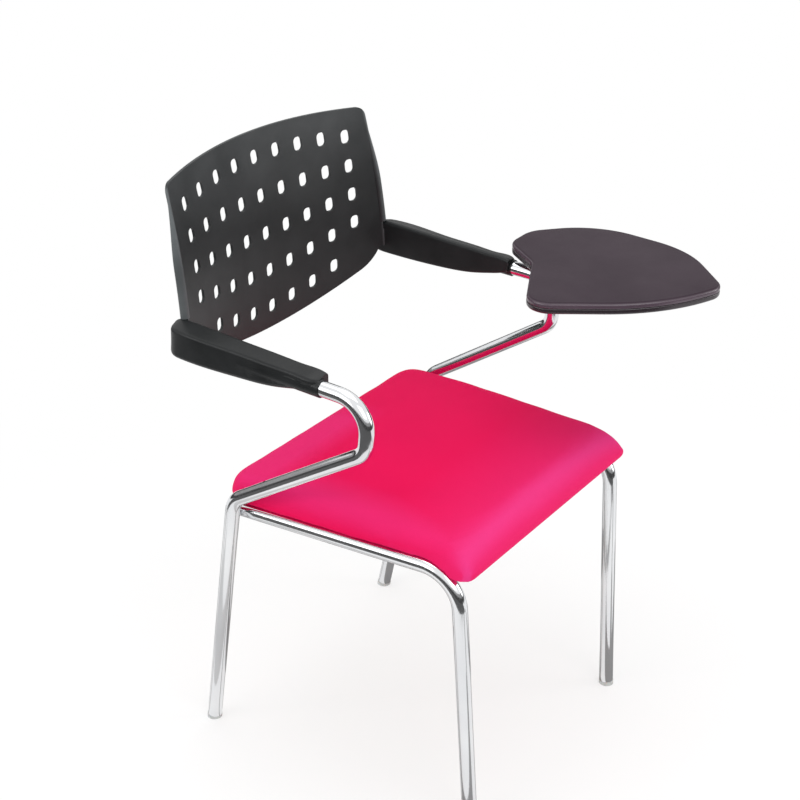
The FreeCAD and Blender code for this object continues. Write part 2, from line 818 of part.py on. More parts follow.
# A round bead stiffens each side of the panel, from the arm up, and fades into the top corner
doc.recompute()
corner_centre = next(
    face.Surface.Center for face in back_block.Shape.Faces
    if isinstance(face.Surface, Part.Cylinder) and face.CenterOfMass.x > 0
    and abs(face.Surface.Radius - d.back_top_corner) < CLOSE and face.CenterOfMass.z > back_middle_height
)
side_run = side_top - side_bottom
side_outward = Vector(side_run.z, 0, -side_run.x).normalize()
corner_start = corner_centre + side_outward * d.back_top_corner
RIM_TIP_TURN = math.radians(45)
RIM_SIDE_STEPS = 4
RIM_TAPER_STEPS = 16
rim_bottom = arm_axis_height(d.arm_tube_reach) + d.arm_rear_top_rise - d.back_rim_foot_drop
rim_top = corner_centre.z + d.back_top_corner * math.sin(RIM_TIP_TURN)
taper_start = rim_top - d.back_rim_taper


def side_edge(height):
    """Half width of the panel at a height, around its top corner too."""
    if height < corner_start.z:
        return side_bottom.x + side_run.x * (height - side_bottom.z) / side_run.z
    return corner_centre.x + math.sqrt(d.back_top_corner ** 2 - (height - corner_centre.z) ** 2)


def rim_at(height):
    """The bead's middle and radius: full along the side, hidden in the panel at the corner."""
    share = min(max((height - taper_start) / d.back_rim_taper, 0.0), 1.0)
    fade = share ** 2 * (3 - 2 * share)
    radius = (d.back_rim_diameter + (d.back_rim_tip_diameter - d.back_rim_diameter) * fade) / 2
    outer = side_edge(height) + d.back_rim_proud * (1 - fade) - d.back_rim_tip_cover * fade
    depth = d.back_rim_set_back + (d.back_thickness / 2 - d.back_rim_set_back) * fade
    half_width = outer - radius
    return Vector(half_width, back_front(half_width, height) + depth, height), radius


def rim_section(height):
    """A circle across the bead."""
    centre, radius = rim_at(height)
    ahead = rim_at(height + CLOSE)[0] - centre
    outwards = BACK.cross(ahead).normalize() * radius
    backwards = ahead.cross(outwards).normalize() * radius
    eighths = [math.radians(45 * step) for step in range(9)]
    ring_points = [centre + outwards * math.cos(turn) + backwards * math.sin(turn) for turn in eighths]
    return Part.Wire([Part.Arc(*ring_points[step:step + 3]).toShape() for step in range(0, 8, 2)])


side_step = (taper_start - rim_bottom) / RIM_SIDE_STEPS
taper_step = d.back_rim_taper / RIM_TAPER_STEPS
rim_heights = [rim_bottom + side_step * step for step in range(RIM_SIDE_STEPS)]
rim_heights += [taper_start + taper_step * step for step in range(RIM_TAPER_STEPS + 1)]
rim_left = lofted("back_rim_left", [rim_section(height) for height in rim_heights], ruled=True)
rim_right = mirrored("back_rim_right", rim_left)

lug_bottom = d.loop_high_height - d.arm_bottom_drop + d.lug_bottom_margin
lug_top = arm_axis_height(d.arm_tube_reach) + d.arm_rear_top_rise - d.arm_ridge_drop - d.lug_top_margin
lug_middle = (lug_bottom + lug_top) / 2
lug_face = arm_inner_face - d.lug_gap
lug_box = add("Part::Box", "lug_box", Length="Sizes.lug_length")
lug_box.Width = FAR
lug_box.Height = lug_top - lug_bottom
lug_box.Placement.Base = Vector(lug_face - d.lug_length, 0, lug_bottom)
lug_left = common("lug_left", back_band("lug_band", d.lug_depth), lug_box)
lug_right = mirrored("lug_right", lug_left)

screw_place = back_front(arm_inner_face, lug_middle) + d.back_screw_inset
back_screw_seats = [
    across(left, Vector(lug_face - d.lug_length, screw_place, lug_middle + half * d.back_screw_pitch / 2))
    for left in (True, False) for half in (-1, 1)
]


def slot_row(row):
    """Places along a row, counted from the middle of the back."""
    reach = int(d.slot_side_columns)
    if row == int(d.slot_rows) - 1:
        reach -= 1
    share = row / (d.slot_rows - 1)
    pitch = d.slot_top_pitch + (d.slot_bottom_pitch - d.slot_top_pitch) * share
    return [step * pitch for step in range(-reach, reach + 1)]


slot_field = back_top_height - back_bottom_height - d.slot_top_margin - d.slot_bottom_margin
slot_row_pitch = slot_field / (d.slot_rows - 1)


def slot_height_at(row, along):
    """Row heights: the rows arch up at the top of the back and down at its bottom."""
    middle = back_top_height - d.slot_top_margin - row * slot_row_pitch
    arch = row * d.slot_row_arch_step - d.slot_top_row_arch
    return middle + arch * (along / (d.slot_side_columns * d.slot_top_pitch)) ** 2


slot_corners = [Vector(side * d.slot_width / 2, 0, end * d.slot_height / 2)
                for side, end in ((-1, -1), (1, -1), (1, 1), (-1, 1))]
slot_face = Part.Face(rounded_wire(slot_corners, [d.slot_corner] * 4, closed=True))
slot_block = slot_face.extrude(BACK * d.back_plan_radius / 2)
slot_blocks = []
for row in range(int(d.slot_rows)):
    for along in slot_row(row):
        turn = Rotation(UP, -math.degrees(along / d.back_plan_radius))
        outwards = turn.multVec(BACK * d.back_plan_radius * 0.75)
        place = Vector(0, back_axis, slot_height_at(row, along)) + outwards
        block = slot_block.copy()
        block.Placement = Placement(place, turn)
        slot_blocks.append(block)
slots = shape_object("back_slots", Part.makeCompound(slot_blocks))

back_holes = []
for seat in back_screw_seats:
    outward = LEFT if seat.x > 0 else -LEFT
    shank = cylinder("back_screw_hole", seat, outward, Height="2 * Sizes.lug_length",
                     Radius="Sizes.small_screw_diameter / 2 + Sizes.hole_clearance")
    head_room = cylinder("back_screw_room", seat, -outward, Height="Sizes.lug_length",
                         Radius="Sizes.small_screw_diameter + Sizes.hole_clearance")
    back_holes += [shank, head_room]
back_solid = fuse("back_solid", [skin, rim_left, rim_right, lug_left, lug_right])
node("back_shell", cut("back_shell", cut("slotted_back", back_solid, [slots]), back_holes))


# Arm sleeves over the ends of the side loops

arm_rear = back_front(arm_inner_face, lug_middle) + d.arm_rear_overlap


def arm_section(front, place, taper):
    """The arm's section at a distance behind the middle: a sloping top and a rounded bottom."""
    shrink = taper / 4
    along = (place - front) / (arm_rear - front)
    axis = arm_axis_height(place)
    top = axis + d.arm_front_top_rise + (d.arm_rear_top_rise - d.arm_front_top_rise) * along
    rising = max(0.0, (d.arm_lift_start - place) / (d.arm_lift_start - front))
    bottom = d.loop_high_height - d.arm_bottom_drop + d.arm_front_lift * rising ** 2
    outer = d.loop_half_span + d.arm_outer_front + (d.arm_outer_rear - d.arm_outer_front) * along
    points = [
        Vector(arm_inner_face, place, bottom + shrink),
        Vector(arm_inner_face, place, top - shrink),
        Vector(outer - 1.4 * taper, place, top - d.arm_ridge_drop - shrink),
        Vector(outer - d.arm_bottom_tuck - taper / 2, place, bottom + d.arm_bottom_slant + shrink),
    ]
    rounds = [d.arm_inner_round, d.arm_top_round, d.arm_top_round, d.arm_bottom_round]
    return rounded_wire(points, rounds, closed=True)


def arm_body(name, set_back):
    """A sleeve with a collar around the tube where its underside rises to the front."""
    front = set_back - d.arm_front
    lift = d.arm_lift_start - front
    stations = [
        (arm_rear, d.arm_end_taper),
        (arm_rear - d.arm_end_length / 3, d.arm_end_taper / 3),
        (arm_rear - d.arm_end_length, 0),
        (d.arm_lift_start, 0),
        (front + lift / 2, 0),
        (front + lift / 4, 0),
        (front + d.arm_nose_length, 0),
        (front, d.arm_nose_taper),
    ]
    shell = lofted(f"{name}_shell", [arm_section(front, place, taper) for place, taper in stations])
    collar_front = front - d.arm_collar_proud
    collar_start = Vector(d.loop_half_span, collar_front, arm_axis_height(collar_front))
    collar = cylinder(f"{name}_collar", collar_start, arm_tube_end - loop_high,
                      Radius="Sizes.tube_diameter / 2 + Sizes.arm_collar_wall")
    collar.Height = lift
    return fuse(f"{name}_body", [shell, collar])


arm_bore = swept("arm_bore", open_side_path, "Sizes.tube_diameter / 2 + Sizes.arm_bore_clearance")
arm_screw_height = d.loop_high_height - d.arm_bottom_drop + d.arm_screw_recess
arm_recess = cylinder("arm_recess", arm_screw_axis, UP,
                      Radius="Sizes.small_screw_diameter + Sizes.hole_clearance")
arm_recess.Height = arm_screw_height
arm_back_holes = [
    cylinder("arm_back_hole", seat, LEFT, Radius="Sizes.small_screw_diameter / 2 + Sizes.hole_clearance",
             Height="Sizes.back_screw_length + Sizes.screw_end_room")
    for seat in back_screw_seats if seat.x > 0
]
arm_tools = [arm_bore, arm_screw_hole, arm_recess] + arm_back_holes
tablet_side_arm = arm_body("tablet_side_arm", d.tablet_loop_set_back)
open_side_arm = arm_body("open_side_arm", 0)
node("arm_sleeve_left", cut("arm_sleeve_left", tablet_side_arm, arm_tools))
node("arm_sleeve_right", mirrored("arm_sleeve_right", cut("open_side_sleeve", open_side_arm, arm_tools)))

back_screw = socket_screw("back_screw", d.small_screw_diameter, d.back_screw_length)
copies("back_screws", back_screw,
       [facing(seat, -LEFT if seat.x > 0 else LEFT) for seat in back_screw_seats])
arm_screw_reach = arm_axis_height(d.arm_screw_place) - arm_screw_height
arm_screw = socket_screw("arm_screw", d.small_screw_diameter, arm_screw_reach)
copies("arm_screws", arm_screw, [
    facing(across(left, arm_screw_axis + UP * arm_screw_height), -UP) for left in (True, False)
])


# Tablet hinge: a spindle on the front of the left loop, and a sleeve that turns on it

hinge = loop_high + Vector(0, d.tablet_loop_set_back, -d.spindle_drop)
sleeve_rear = hinge - BACK * d.sleeve_set_off
sleeve_front = sleeve_rear - BACK * d.sleeve_length
spindle_end = sleeve_front - BACK * d.end_play
spindle_root = hinge + BACK * tube_radius
pin_place = sleeve_rear - BACK * d.stop_pin_place
pin_reach = d.sleeve_diameter / 2 + d.stop_pin_proud

spindle_bar = cylinder("spindle_bar", spindle_root, -BACK, Radius="Sizes.spindle_diameter / 2")
spindle_bar.Height = (spindle_root - spindle_end).Length
pin_hole = cylinder("pin_hole", pin_place, -UP,
                    Radius="Sizes.stop_pin_diameter / 2", Height="Sizes.sleeve_diameter")
spindle_hole = cylinder("spindle_hole", spindle_end, BACK, Radius="Sizes.spindle_screw_diameter / 2",
                        Height="Sizes.spindle_screw_length")
node("hinge_spindle", cut("hinge_spindle", spindle_bar, [rear_coping, pin_hole, spindle_hole]))

pin = turned("stop_pin", [
    (0, 0),
    (d.stop_pin_diameter / 2 - d.spindle_clearance, 0),
    (d.stop_pin_diameter / 2 - d.spindle_clearance, pin_reach),
    (0, pin_reach),
])
pin.Placement = facing(pin_place, -UP)
node("stop_pin", pin)

sleeve_bar = cylinder("sleeve_bar", sleeve_rear, -BACK,
                      Radius="Sizes.sleeve_diameter / 2", Height="Sizes.sleeve_length")
neck = add("Part::Box", "sleeve_neck", Length="Sizes.neck_width", Width="Sizes.sleeve_length",
           Height="Sizes.sleeve_diameter / 2 + Sizes.neck_height")
neck.Placement.Base = sleeve_front - LEFT * d.neck_width / 2
sleeve_bore = cylinder("sleeve_bore", sleeve_rear, -BACK, Height="Sizes.sleeve_length",
                       Radius="Sizes.spindle_diameter / 2 + Sizes.spindle_clearance")
stop_reach = d.stop_pin_diameter / 2 + d.stop_clearance
notch = add("Part::Box", "sleeve_notch", Length="Sizes.sleeve_diameter", Height="Sizes.sleeve_diameter")
notch.Width = d.stop_pin_place + stop_reach
notch.Placement.Base = pin_place + Vector(-stop_reach, -stop_reach, stop_reach - d.sleeve_diameter)
node("hinge_sleeve", cut("hinge_sleeve", fuse("sleeve_body", [sleeve_bar, neck]), [sleeve_bore, notch]))

washer = turned("spindle_washer", [
    (d.spindle_screw_diameter / 2 + d.hole_clearance, 0),
    (d.washer_diameter / 2, 0),
    (d.washer_diameter / 2, d.washer_thickness),
    (d.spindle_screw_diameter / 2 + d.hole_clearance, d.washer_thickness),
])
washer.Placement = facing(spindle_end, -BACK)
node("spindle_washer", washer)
end_screw_diameter = d.spindle_screw_diameter - 2 * d.spindle_clearance
end_screw = socket_screw("spindle_screw", end_screw_diameter, d.spindle_screw_length)
end_screw.Placement = facing(spindle_end - BACK * d.washer_thickness, -BACK)
node("spindle_screw", end_screw)


# Tablet and the plate that carries it

plate_bottom = hinge + UP * (d.sleeve_diameter / 2 + d.neck_height)
plate_middle = plate_bottom - BACK * (d.sleeve_set_off + d.sleeve_length / 2)
half_plate = Vector(d.plate_width / 2, d.sleeve_length / 2, 0)
plate_corners = [Vector(side * half_plate.x, end * half_plate.y, 0)
                 for side, end in ((-1, -1), (1, -1), (1, 1), (-1, 1))]
screw_reach = half_plate - Vector(d.plate_screw_margin, d.plate_screw_margin, 0)
plate_screws = [Vector(side * screw_reach.x, end * screw_reach.y, 0) for side in (-1, 1) for end in (-1, 1)]
plate_outline = rounded_wire(plate_corners, [d.plate_corner] * 4, closed=True)
plate = pad_body("tablet_plate", plate_outline, "plate_thickness")
drill(plate, "plate_holes", plate_screws, d.small_screw_diameter / 2 + d.hole_clearance)
plate.Placement = Placement(plate_middle, Rotation())
node("tablet_plate", plate)

tablet_corners = []
tablet_rounds = []
for corner_name in TABLET_CORNERS:
    out = getattr(d, f"tablet_{corner_name}_out")
    behind = getattr(d, f"tablet_{corner_name}_back")
    tablet_corners.append(Vector(out, behind, 0))
    tablet_rounds.append(getattr(d, f"tablet_{corner_name}_round"))
tablet_base = plate_bottom + UP * d.plate_thickness
tablet_outline = rounded_wire(tablet_corners, tablet_rounds, closed=True)


def round_edges(body, name, height, radius_alias):
    """Round all the edges of a padded body that lie at one height."""
    base = body.Tip
    rounding = body.newObject("PartDesign::Fillet", name)
    rounding.Base = (base, [
        f"Edge{number}" for number, edge in enumerate(base.Shape.Edges, start=1)
        if abs(edge.BoundBox.ZMin - height) < 0.01 and abs(edge.BoundBox.ZMax - height) < 0.01
    ])
    rounding.setExpression("Radius", f"Sizes.{radius_alias}")
    doc.recompute()


# The edge has a line all around at half its height, between two rounded layers
lower_layer = pad_body("tablet_lower_layer", tablet_outline, "tablet_lower_thickness")
round_edges(lower_layer, "tablet_bottom_rounding", 0, "tablet_bottom_round")
round_edges(lower_layer, "tablet_lower_seam", d.tablet_lower_thickness, "tablet_seam_round")
lower_layer.Placement = Placement(tablet_base, Rotation())
upper_layer = pad_body("tablet_upper_layer", tablet_outline, "tablet_upper_thickness")
round_edges(upper_layer, "tablet_upper_seam", 0, "tablet_seam_round")
round_edges(upper_layer, "tablet_top_rounding", d.tablet_upper_thickness, "tablet_top_round")
upper_layer.Placement = Placement(tablet_base + UP * d.tablet_lower_thickness, Rotation())
tablet_holes = []
for place in plate_screws:
    hole = cylinder("tablet_screw_hole", plate_middle + place + UP * d.plate_thickness, UP,
                    Radius="Sizes.small_screw_diameter / 2 + Sizes.hole_clearance",
                    Height="Sizes.tablet_screw_bite + Sizes.screw_end_room")
    tablet_holes.append(hole)
node("tablet_top", cut("tablet_top", fuse("tablet_layers", [lower_layer, upper_layer]), tablet_holes))
tablet_screw = socket_screw("tablet_screw", d.small_screw_diameter, d.plate_thickness + d.tablet_screw_bite)
copies("tablet_screws", tablet_screw, [facing(plate_middle + place, -UP) for place in plate_screws])


# Check every object, stand the chair with the middle of its box on the origin, write the files

doc.recompute()
for made in doc.Objects:
    if "Invalid" in made.State or "Error" in made.State:
        raise RuntimeError(f"{made.Name} failed: {made.State}")
for label, made in nodes.items():
    if made.Shape.isNull() or not made.Shape.isValid() or not made.Shape.Solids:
        raise RuntimeError(f"{label} has no valid solid")

box = FreeCAD.BoundBox()
for made in nodes.values():
    box.add(made.Shape.optimalBoundingBox(False))
stand = Placement(Vector(-box.Center.x, -box.Center.y, -box.ZMin), Rotation())
for made in nodes.values():
    made.Placement = stand.multiply(made.Placement)

os.makedirs("parts", exist_ok=True)
for label, made in nodes.items():
    made.Shape.exportStep(f"parts/{label}.step")
print(f"{len(nodes)} nodes, box {box.XLength:.1f} x {box.YLength:.1f} x {box.ZLength:.1f} mm")
print("middle of the chair at", stand.Base)
print("hinge at", stand.multVec(hinge))
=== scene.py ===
# %% [markdown]
# A tablet arm chair, dressed for a studio picture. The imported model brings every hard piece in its
# place: bent tubes, a slotted back, arm sleeves, a writing tablet on its spindle. This lesson keeps
# those solids as they are, gives each one a finish made of nodes, and builds the soft seat anew,
# because a solid from a drawing has none of the swell of foam under cloth.

import math

import bpy
import numpy as np
from mathutils import Matrix, Vector


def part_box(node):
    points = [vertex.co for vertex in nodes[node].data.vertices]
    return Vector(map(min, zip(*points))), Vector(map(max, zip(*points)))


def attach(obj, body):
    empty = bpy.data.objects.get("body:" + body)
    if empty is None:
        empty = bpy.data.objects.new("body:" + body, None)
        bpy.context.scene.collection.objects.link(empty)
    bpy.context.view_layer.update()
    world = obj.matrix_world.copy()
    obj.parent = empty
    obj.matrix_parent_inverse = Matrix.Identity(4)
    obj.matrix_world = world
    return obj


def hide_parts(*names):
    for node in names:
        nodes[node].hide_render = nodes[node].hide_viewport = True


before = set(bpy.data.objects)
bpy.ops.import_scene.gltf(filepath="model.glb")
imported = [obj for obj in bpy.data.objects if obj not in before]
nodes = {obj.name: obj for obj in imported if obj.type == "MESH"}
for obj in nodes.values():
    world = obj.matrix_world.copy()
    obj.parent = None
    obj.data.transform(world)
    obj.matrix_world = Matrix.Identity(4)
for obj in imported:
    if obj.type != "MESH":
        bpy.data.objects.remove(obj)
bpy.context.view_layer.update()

# %% [markdown]
# The solids arrive as loose triangles. Flat shading would show every one of them on the tubes, so
# faces are shaded smooth wherever their edges turn by less than about thirty degrees. The mesh
# itself could be merged and split by hand, but a solid's own vertices stay untouched here, and the
# same thing is done by modifiers: one welds the triangles together, the other splits sharp edges.

# %% smooth shading for the solids
SHARP_ANGLE = math.radians(32)
WELD_DISTANCE = 0.00001


def shade_solid(solid):
    """Weld a solid's loose triangles and shade it smooth between its sharp edges."""
    weld = solid.modifiers.new("weld", "WELD")
    weld.merge_threshold = WELD_DISTANCE
    solid.data.shade_smooth()
    split = solid.modifiers.new("sharp_edges", "EDGE_SPLIT")
    split.split_angle = SHARP_ANGLE


print("nodes:", ", ".join(sorted(nodes)))

# %% [markdown]
# A finish is a small graph of nodes that ends in one surface shader. It could be wired by hand in the
# shader editor, but the chair has ten finishes that differ in little more than their numbers, so
# helpers wire them. A finish starts as a shader with fixed numbers on its own sockets, and the place
# on the object, which all patterns read.

# %% start of a finish
def set_sockets(node, sockets):
    """Give a node's sockets plain values; an underscore in a name stands for a space."""
    for socket, value in sockets.items():
        node.inputs[socket.replace("_", " ")].default_value = value
    return node


class Finish:
    """A node material in the making: its shader, and the place on the object that patterns read."""

    def __init__(self, name, **sockets):
        self.material = bpy.data.materials.new(name)
        self.material.use_nodes = True
        self.tree = self.material.node_tree
        self.shader = set_sockets(self.tree.nodes["Principled BSDF"], sockets)
        self.place = self.node("TexCoord").outputs["Object"]

    def node(self, kind, **sockets):
        """A new node of a kind, with some of its sockets set."""
        return set_sockets(self.tree.nodes.new(f"ShaderNode{kind}"), sockets)

    def link(self, output, socket):
        """Lead an output into a socket."""
        self.tree.links.new(output, socket)

    def to(self, output, socket):
        """Lead an output into one of the shader's own sockets."""
        self.link(output, self.shader.inputs[socket])


def wear(finish, *names):
    """Give solids a finish, in place of the one they came with."""
    for name in names:
        solid = nodes[name]
        solid.data.materials.clear()
        solid.data.materials.append(finish.material)
        shade_solid(solid)
    print(f"{finish.material.name}: {', '.join(names)}")


# %% [markdown]
# Clouds do most of the work in a finish: they change its colour, change its roughness and press a
# fine relief into it. Pictures could do that too, but clouds worked out from the place on the object
# have no seams and no end of detail.

# %% clouds, colour, roughness and relief
def clouds(finish, scale, detail=2.0, stretch=(1, 1, 1)):
    """Soft values from 0 to 1, with about `scale` clouds in a metre before the stretch."""
    mapping = finish.node("Mapping", Scale=stretch)
    finish.link(finish.place, mapping.inputs["Vector"])
    pattern = finish.node("TexNoise", Scale=scale, Detail=detail)
    finish.link(mapping.outputs["Vector"], pattern.inputs["Vector"])
    return pattern.outputs["Fac"]


def between(finish, value, low, high, first=0.0, last=1.0):
    """Map values from low..high to first..last, and hold the ends beyond."""
    mapped = finish.node("MapRange", From_Min=low, From_Max=high, To_Min=first, To_Max=last)
    finish.link(value, mapped.inputs["Value"])
    return mapped.outputs["Result"]


def tinted(finish, value, *stops):
    """Map values to colours, through stops of (value, colour)."""
    ramp = finish.node("ValToRGB")
    while len(ramp.color_ramp.elements) < len(stops):
        ramp.color_ramp.elements.new(0.5)
    for element, (position, colour) in zip(ramp.color_ramp.elements, stops):
        element.position = position
        element.color = (*colour, 1)
    finish.link(value, ramp.inputs["Fac"])
    return ramp.outputs["Color"]


def roughen(finish, value, low, high):
    """Let the roughness follow a pattern of 0 to 1, from low to high."""
    finish.to(between(finish, value, 0.0, 1.0, low, high), "Roughness")


def press(finish, height, depth, strength):
    """Relief by a pattern: a bump of `depth` metres where the pattern is 1, at a share of its strength."""
    bump = finish.node("Bump", Strength=strength, Distance=depth)
    finish.link(height, bump.inputs["Height"])
    finish.to(bump.outputs["Normal"], "Normal")


print("helpers: clouds, between, tinted, roughen, press")

# %% [markdown]
# The frame is steel tube, bent cold, polished and chromed. Chrome has next to no colour of its own:
# what is seen in it is the room. A perfect mirror looks drawn rather than plated, so the roughness
# wanders a little, as it does where the buffing wheel ran, and a very shallow ripple bends the
# reflections the way a polished weld or a bend does.

# %% chrome for the frame
chrome = Finish("bright_chrome", Metallic=1.0)
chrome.to(tinted(chrome, clouds(chrome, 9),
                 (0.3, (0.74, 0.75, 0.77)), (0.7, (0.83, 0.84, 0.85))), "Base Color")
roughen(chrome, clouds(chrome, 24, 3), 0.06, 0.16)
press(chrome, clouds(chrome, 60), depth=0.00012, strength=0.25)
wear(chrome, "rear_leg_arm_tube_left", "rear_leg_arm_tube_right", "front_leg_rail_tube_left",
     "front_leg_rail_tube_right", "front_cross_tube", "rear_cross_tube", "hinge_spindle")

# %% [markdown]
# The back is one moulding of dark polypropylene. Its colour is painted paler in two places, as painted
# highlights where the light catches it: along the top, which leans back towards the light above, and on
# the round bead at each side. Those places could be painted on a map of the surface. It is simpler to
# find them by measure. The sides lean inwards, so the bead is where the distance from the middle, plus
# a share of the height, comes near half the panel's width.

# %% helpers that measure a place
def along(finish, axis):
    """The place along one axis, in metres."""
    split = finish.node("SeparateXYZ")
    finish.link(finish.place, split.inputs["Vector"])
    return split.outputs[axis]


def reckon(finish, kind, first, second):
    """A sum, a product or the like of a pattern and a number, or of two patterns."""
    made = finish.node("Math")
    made.operation = kind
    finish.link(first, made.inputs[0])
    if isinstance(second, float):
        made.inputs[1].default_value = second
    else:
        finish.link(second, made.inputs[1])
    return made.outputs["Value"]


def vary(finish, colour, value, low, high):
    """Multiply a colour's brightness by low where a pattern is 0, up to high where it is 1."""
    made = finish.node("HueSaturation")
    finish.link(between(finish, value, 0.0, 1.0, low, high), made.inputs["Value"])
    finish.link(colour, made.inputs["Color"])
    return made.outputs["Color"]


BEAD_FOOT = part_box("arm_sleeve_right")[1][2]
BEAD_LEAN = 0.036
BEAD_WIDTH = 0.013
BEAD_FULL = 0.008
print(f"the bead starts {BEAD_FOOT:.3f} m above the floor")

# %% [markdown]
# The mould of the back was etched, so its face is a fine dry grain that breaks up the light, and its
# black is uneven by itself before the painted highlights along the top and on the beads are added.

# %% moulded back
BEAD_PAINTED_HIGHLIGHT = 4.2
TOP_HIGHLIGHT_DEPTH = 0.13
TOP_PAINTED_HIGHLIGHT = 2.2
back_low, back_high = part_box("back_shell")
back_middle = (back_low[0] + back_high[0]) / 2
back_half = (back_high[0] - back_low[0]) / 2
back_plastic = Finish("etched_back_plastic", IOR=1.48, Specular_IOR_Level=0.24)
panel_height = along(back_plastic, "Z")
from_middle = reckon(back_plastic, "SUBTRACT", along(back_plastic, "X"), back_middle)
half_width = reckon(back_plastic, "ABSOLUTE", from_middle, 0.0)
above_foot = reckon(back_plastic, "SUBTRACT", panel_height, BEAD_FOOT)
drawn_in = reckon(back_plastic, "MULTIPLY", above_foot, BEAD_LEAN)
outwards = reckon(back_plastic, "ADD", half_width, drawn_in)
# masks for the painted highlights: the bead at each side, and the top of the panel
bead = between(back_plastic, outwards, back_half - BEAD_WIDTH, back_half - BEAD_FULL)
top_highlight = between(back_plastic, panel_height, back_high[2] - TOP_HIGHLIGHT_DEPTH, back_high[2])
skin = tinted(back_plastic, clouds(back_plastic, 14, 5),
              (0.25, (0.0125, 0.014, 0.0145)), (0.8, (0.025, 0.027, 0.028)))
# painted highlight along the top, where light from above falls on its backward lean
skin = vary(back_plastic, skin, top_highlight, 1.0, TOP_PAINTED_HIGHLIGHT)
# painted highlight on the bead at each side
back_plastic.to(vary(back_plastic, skin, bead, 1.0, BEAD_PAINTED_HIGHLIGHT), "Base Color")
roughen(back_plastic, clouds(back_plastic, 30, 3), 0.34, 0.48)
press(back_plastic, clouds(back_plastic, 1400), depth=0.00012, strength=0.5)
wear(back_plastic, "back_shell")

# %% [markdown]
# The arm sleeves are the same plastic out of a smoother mould. The grain is finer and shallower, and
# they shine more, which could also be had from a clear coat, but then the dark would lose its depth.

# %% arm sleeves
arm_plastic = Finish("satin_arm_plastic", IOR=1.48, Specular_IOR_Level=0.28)
arm_plastic.to(tinted(arm_plastic, clouds(arm_plastic, 18, 5),
                      (0.25, (0.0095, 0.0105, 0.011)), (0.8, (0.019, 0.0205, 0.0215))), "Base Color")
roughen(arm_plastic, clouds(arm_plastic, 40, 3), 0.3, 0.44)
press(arm_plastic, clouds(arm_plastic, 1100), depth=0.0001, strength=0.4)
wear(arm_plastic, "arm_sleeve_left", "arm_sleeve_right")

# %% [markdown]
# The tablet is a moulded board with a brown-grey leathered face. Leather grain is cells with creases
# between them: a cell pattern gives the creases, and a slow cloud changes their depth. Its edge is
# two smoother bands with a seam between them. The upper band is painted paler, a painted highlight
# where it turns to the light, and the lower one is painted darker, a painted shade under it. Face and
# bands could be three materials, but they differ by height alone, so one material reads the height.

# %% creases and levels of the tablet
def creases(finish, scale):
    """Distance from the nearest border between cells, about `scale` cells in a metre."""
    cells = finish.node("TexVoronoi", Scale=scale)
    cells.feature = "DISTANCE_TO_EDGE"
    finish.link(finish.place, cells.inputs["Vector"])
    return cells.outputs["Distance"]


SEAM_HALF = 0.0005
EDGE_TOP = 0.0025
FACE_START = 0.0006
tablet_low, tablet_high = (corner[2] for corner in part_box("tablet_top"))
seam = (tablet_low + tablet_high) / 2
edge_to_face = (tablet_high - EDGE_TOP, tablet_high - FACE_START)
print(f"tablet: seam at {seam:.4f} m, face from {edge_to_face[1]:.4f} m up")

# %% tablet board
UPPER_EDGE_PAINTED_HIGHLIGHT = 2.0
LOWER_EDGE_PAINTED_SHADE = 0.6
EDGE_SHINE = 0.75
FACE_SHINE = 0.08
FACE_DULLED = 0.2
tablet_board = Finish("leathered_tablet", IOR=1.5)
level = along(tablet_board, "Z")
over_seam = between(tablet_board, level, seam - SEAM_HALF, seam + SEAM_HALF)
on_face = between(tablet_board, level, *edge_to_face)
hide = tinted(tablet_board, clouds(tablet_board, 11, 6),
              (0.2, (0.03, 0.0185, 0.027)), (0.8, (0.043, 0.0285, 0.039)))
# painted highlight on the upper edge band and painted shade on the lower one, by height
hide = vary(tablet_board, hide, over_seam, LOWER_EDGE_PAINTED_SHADE, UPPER_EDGE_PAINTED_HIGHLIGHT)
# on the face the painted highlight of the upper band is taken back
tablet_board.to(vary(tablet_board, hide, on_face, 1.0, 1 / UPPER_EDGE_PAINTED_HIGHLIGHT), "Base Color")
dulled = between(tablet_board, level, *edge_to_face, 0.0, FACE_DULLED)
rubbed = between(tablet_board, clouds(tablet_board, 25, 4), 0.0, 1.0, 0.18, 0.28)
tablet_board.to(reckon(tablet_board, "ADD", dulled, rubbed), "Roughness")
tablet_board.to(between(tablet_board, level, *edge_to_face, EDGE_SHINE, FACE_SHINE), "Specular IOR Level")
grain = reckon(tablet_board, "MULTIPLY", creases(tablet_board, 520), clouds(tablet_board, 80, 3))
press(tablet_board, grain, depth=0.0006, strength=0.45)
wear(tablet_board, "tablet_top")

# %% [markdown]
# Small things are often left grey, and then they look like a drawing. The glides under the legs are
# pale nylon: a little light goes into it and comes out again, and the floor has scuffed it in spots.
# The plugs in the ends of the rails are black plastic with the same kind of spots, but closer.

# %% glides and end plugs
glide_nylon = Finish("scuffed_nylon", Subsurface_Weight=0.08, IOR=1.5)
glide_nylon.to(tinted(glide_nylon, clouds(glide_nylon, 160, 5),
                      (0.3, (0.42, 0.42, 0.41)), (0.75, (0.66, 0.66, 0.65))), "Base Color")
roughen(glide_nylon, clouds(glide_nylon, 300, 3), 0.35, 0.6)
press(glide_nylon, clouds(glide_nylon, 500, 3), depth=0.0002, strength=0.4)
FEET = ("foot_glide_front_left", "foot_glide_front_right", "foot_glide_rear_left", "foot_glide_rear_right")
wear(glide_nylon, *FEET)

